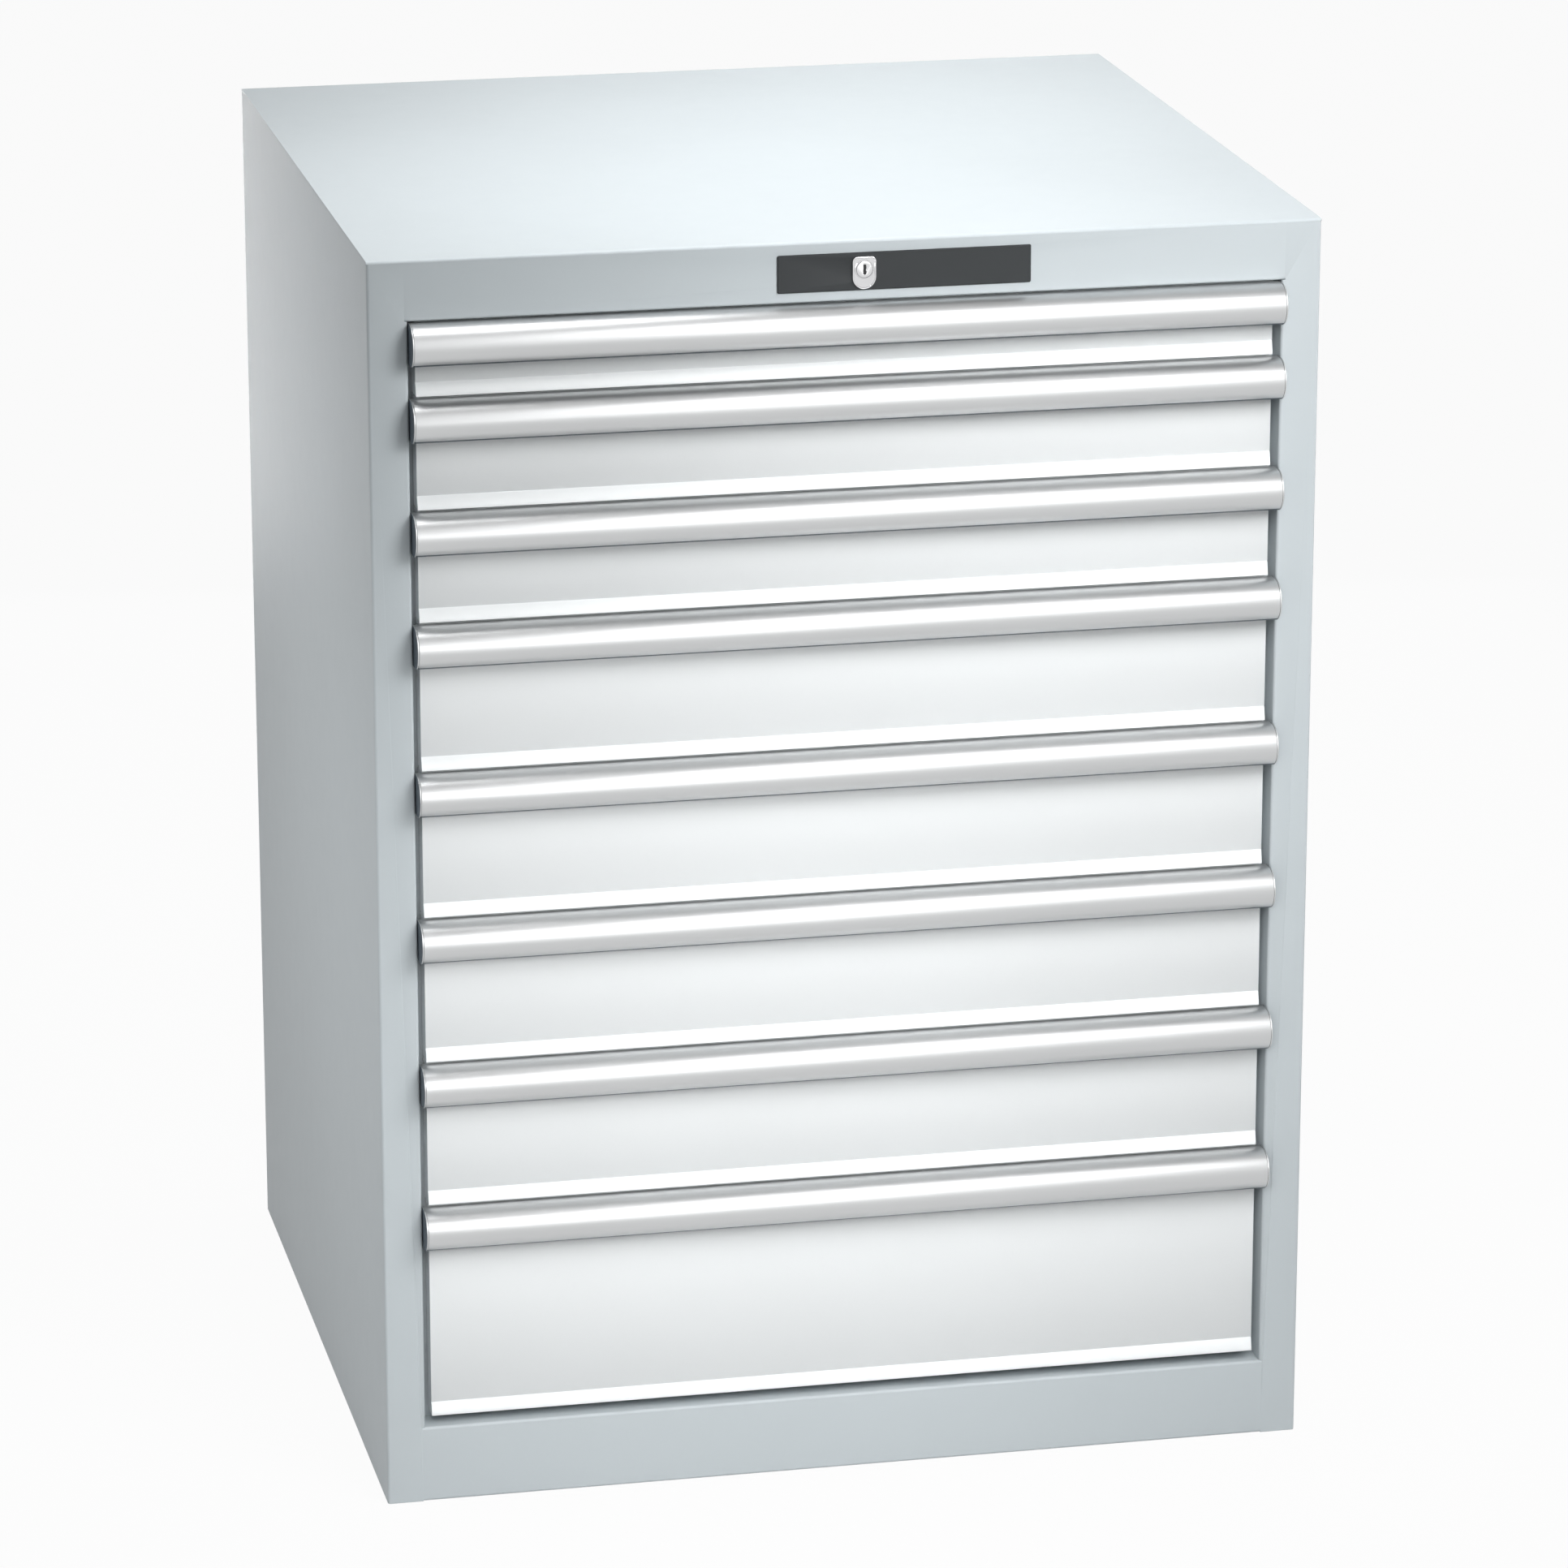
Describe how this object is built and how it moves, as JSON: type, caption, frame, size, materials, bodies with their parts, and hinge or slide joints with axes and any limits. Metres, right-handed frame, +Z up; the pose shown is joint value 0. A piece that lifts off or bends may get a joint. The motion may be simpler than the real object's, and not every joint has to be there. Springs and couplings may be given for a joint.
{
  "type": "multi-drawer cabinet",
  "caption": "Free-standing steel cabinet with a column of full-width drawers of rising height, full-width grip handles and a central lock in the top rail.",
  "frame": {"origin": "centre of the four floor fixing holes, on the floor, which is the centre of the housing's footprint", "axes": "+Z up, -Y towards the drawer fronts, +X to the right as seen from the front"},
  "size_m": [0.63, 0.598, 0.85],
  "materials": {
    "housing_paint": "satin",
    "front_paint": "satin",
    "handle_aluminium": "satin",
    "cap_plastic": "matte",
    "plate_paint": "matte",
    "lock_chrome": "polished",
    "zinc_steel": "satin"
  },
  "bodies": {
    "housing": {"side_panel_left": "housing_paint", "side_panel_right": "housing_paint", "top_panel": "housing_paint", "back_panel": "housing_paint", "base_panel": "housing_paint", "slotted_uprights": "zinc_steel", "fixed_rails": "zinc_steel", "lock_plate": "plate_paint", "lock_escutcheon": "lock_chrome"},
    "lock_plug": {"lock_plug": "lock_chrome"},
    "lock_bar": {"lock_bar": "zinc_steel"},
    "drawer_1": {"drawer_1_tray": "zinc_steel", "drawer_1_front": "front_paint", "drawer_1_handle": "handle_aluminium", "drawer_1_end_caps": "cap_plastic", "drawer_1_rails": "zinc_steel"},
    "carriage_1": {"carriage_1": "zinc_steel"},
    "drawer_2": {"drawer_2_tray": "zinc_steel", "drawer_2_front": "front_paint", "drawer_2_handle": "handle_aluminium", "drawer_2_end_caps": "cap_plastic", "drawer_2_rails": "zinc_steel"},
    "carriage_2": {"carriage_2": "zinc_steel"},
    "drawer_3": {"drawer_3_tray": "zinc_steel", "drawer_3_front": "front_paint", "drawer_3_handle": "handle_aluminium", "drawer_3_end_caps": "cap_plastic", "drawer_3_rails": "zinc_steel"},
    "carriage_3": {"carriage_3": "zinc_steel"},
    "drawer_4": {"drawer_4_tray": "zinc_steel", "drawer_4_front": "front_paint", "drawer_4_handle": "handle_aluminium", "drawer_4_end_caps": "cap_plastic", "drawer_4_rails": "zinc_steel"},
    "carriage_4": {"carriage_4": "zinc_steel"},
    "drawer_5": {"drawer_5_tray": "zinc_steel", "drawer_5_front": "front_paint", "drawer_5_handle": "handle_aluminium", "drawer_5_end_caps": "cap_plastic", "drawer_5_rails": "zinc_steel"},
    "carriage_5": {"carriage_5": "zinc_steel"},
    "drawer_6": {"drawer_6_tray": "zinc_steel", "drawer_6_front": "front_paint", "drawer_6_handle": "handle_aluminium", "drawer_6_end_caps": "cap_plastic", "drawer_6_rails": "zinc_steel"},
    "carriage_6": {"carriage_6": "zinc_steel"},
    "drawer_7": {"drawer_7_tray": "zinc_steel", "drawer_7_front": "front_paint", "drawer_7_handle": "handle_aluminium", "drawer_7_end_caps": "cap_plastic", "drawer_7_rails": "zinc_steel"},
    "carriage_7": {"carriage_7": "zinc_steel"},
    "drawer_8": {"drawer_8_tray": "zinc_steel", "drawer_8_front": "front_paint", "drawer_8_handle": "handle_aluminium", "drawer_8_end_caps": "cap_plastic", "drawer_8_rails": "zinc_steel"},
    "carriage_8": {"carriage_8": "zinc_steel"}
  },
  "joints": [
    {"name": "lock_turn", "type": "hinge", "parent": "housing", "child": "lock_plug", "pos_m": [0.0085, -0.2915, 0.831], "axis": [0, 1, 0], "range_deg": [0, 90]},
    {"name": "lock_bar_slide", "type": "slide", "parent": "housing", "child": "lock_bar", "axis": [0, 0, 1], "range_m": [-0.008, 0]},
    {"name": "drawer_1_slide", "type": "slide", "parent": "housing", "child": "drawer_1", "axis": [0, -1, 0], "range_m": [0, 0.48]},
    {"name": "carriage_1_slide", "type": "slide", "parent": "housing", "child": "carriage_1", "axis": [0, -1, 0], "range_m": [0, 0.24]},
    {"name": "drawer_2_slide", "type": "slide", "parent": "housing", "child": "drawer_2", "axis": [0, -1, 0], "range_m": [0, 0.48]},
    {"name": "carriage_2_slide", "type": "slide", "parent": "housing", "child": "carriage_2", "axis": [0, -1, 0], "range_m": [0, 0.24]},
    {"name": "drawer_3_slide", "type": "slide", "parent": "housing", "child": "drawer_3", "axis": [0, -1, 0], "range_m": [0, 0.48]},
    {"name": "carriage_3_slide", "type": "slide", "parent": "housing", "child": "carriage_3", "axis": [0, -1, 0], "range_m": [0, 0.24]},
    {"name": "drawer_4_slide", "type": "slide", "parent": "housing", "child": "drawer_4", "axis": [0, -1, 0], "range_m": [0, 0.48]},
    {"name": "carriage_4_slide", "type": "slide", "parent": "housing", "child": "carriage_4", "axis": [0, -1, 0], "range_m": [0, 0.24]},
    {"name": "drawer_5_slide", "type": "slide", "parent": "housing", "child": "drawer_5", "axis": [0, -1, 0], "range_m": [0, 0.48]},
    {"name": "carriage_5_slide", "type": "slide", "parent": "housing", "child": "carriage_5", "axis": [0, -1, 0], "range_m": [0, 0.24]},
    {"name": "drawer_6_slide", "type": "slide", "parent": "housing", "child": "drawer_6", "axis": [0, -1, 0], "range_m": [0, 0.48]},
    {"name": "carriage_6_slide", "type": "slide", "parent": "housing", "child": "carriage_6", "axis": [0, -1, 0], "range_m": [0, 0.24]},
    {"name": "drawer_7_slide", "type": "slide", "parent": "housing", "child": "drawer_7", "axis": [0, -1, 0], "range_m": [0, 0.48]},
    {"name": "carriage_7_slide", "type": "slide", "parent": "housing", "child": "carriage_7", "axis": [0, -1, 0], "range_m": [0, 0.24]},
    {"name": "drawer_8_slide", "type": "slide", "parent": "housing", "child": "drawer_8", "axis": [0, -1, 0], "range_m": [0, 0.48]},
    {"name": "carriage_8_slide", "type": "slide", "parent": "housing", "child": "carriage_8", "axis": [0, -1, 0], "range_m": [0, 0.24]}
  ],
  "couplings": [
    {"joint": "lock_turn", "follows": "lock_bar_slide", "rad_per_m": -196.34},
    {"joint": "carriage_1_slide", "follows": "drawer_1_slide", "ratio": 0.5},
    {"joint": "carriage_2_slide", "follows": "drawer_2_slide", "ratio": 0.5},
    {"joint": "carriage_3_slide", "follows": "drawer_3_slide", "ratio": 0.5},
    {"joint": "carriage_4_slide", "follows": "drawer_4_slide", "ratio": 0.5},
    {"joint": "carriage_5_slide", "follows": "drawer_5_slide", "ratio": 0.5},
    {"joint": "carriage_6_slide", "follows": "drawer_6_slide", "ratio": 0.5},
    {"joint": "carriage_7_slide", "follows": "drawer_7_slide", "ratio": 0.5},
    {"joint": "carriage_8_slide", "follows": "drawer_8_slide", "ratio": 0.5}
  ]
}
